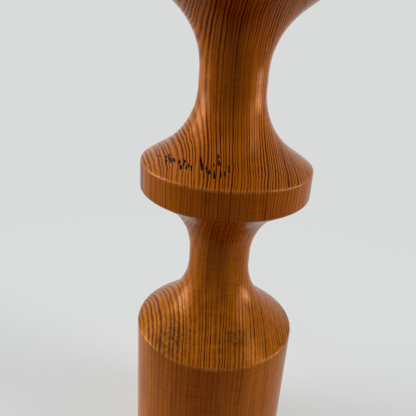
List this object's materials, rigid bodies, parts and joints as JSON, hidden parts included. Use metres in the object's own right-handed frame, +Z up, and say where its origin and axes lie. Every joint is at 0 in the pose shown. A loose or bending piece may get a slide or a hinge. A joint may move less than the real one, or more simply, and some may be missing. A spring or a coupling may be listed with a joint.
{
  "type": "pricket candle stand",
  "caption": "Turned pine pricket candle stand: cylindrical base, waisted column with a flat-rimmed collar, and a round plate with a brass drip pan and a screw-in candle spike.",
  "frame": {"origin": "centre of the felt pad's lower face, where the stand rests on the table", "axes": "+Z up the turning axis; +X and +Y are any two square directions across it, with the pictured side facing -Y"},
  "size_m": [0.0764, 0.0764, 0.2926],
  "materials": {
    "varnished_pine": "aged amber satin varnish over turned pine",
    "beech": "raw, fluted",
    "turned_brass": "turned",
    "spun_brass": "spun, lightly tarnished",
    "felt": "pressed wool felt"
  },
  "bodies": {
    "column": {"base_felt": "felt", "base_section": "varnished_pine", "column_dowel": "beech", "stem_section": "varnished_pine", "candle_plate": "varnished_pine", "threaded_insert": "turned_brass"},
    "washer": {"spike_washer": "turned_brass"},
    "pricket": {"pricket_spike": "turned_brass"},
    "pan": {"drip_pan": "spun_brass"}
  },
  "joints": [
    {"name": "pricket_rise", "type": "slide", "parent": "column", "child": "washer", "axis": [0, 0, 1], "range_m": [0, 0.012]},
    {"name": "pricket_turn", "type": "hinge", "parent": "washer", "child": "pricket", "pos_m": [0, 0, 0.25263], "axis": [0, 0, 1], "range_deg": [0, 4320]},
    {"name": "pan_lift", "type": "slide", "parent": "washer", "child": "pan", "axis": [0, 0, 1], "range_m": [0, 0.045]}
  ],
  "couplings": [
    {"joint": "pricket_turn", "follows": "pricket_rise", "rad_per_m": 6283.2}
  ]
}
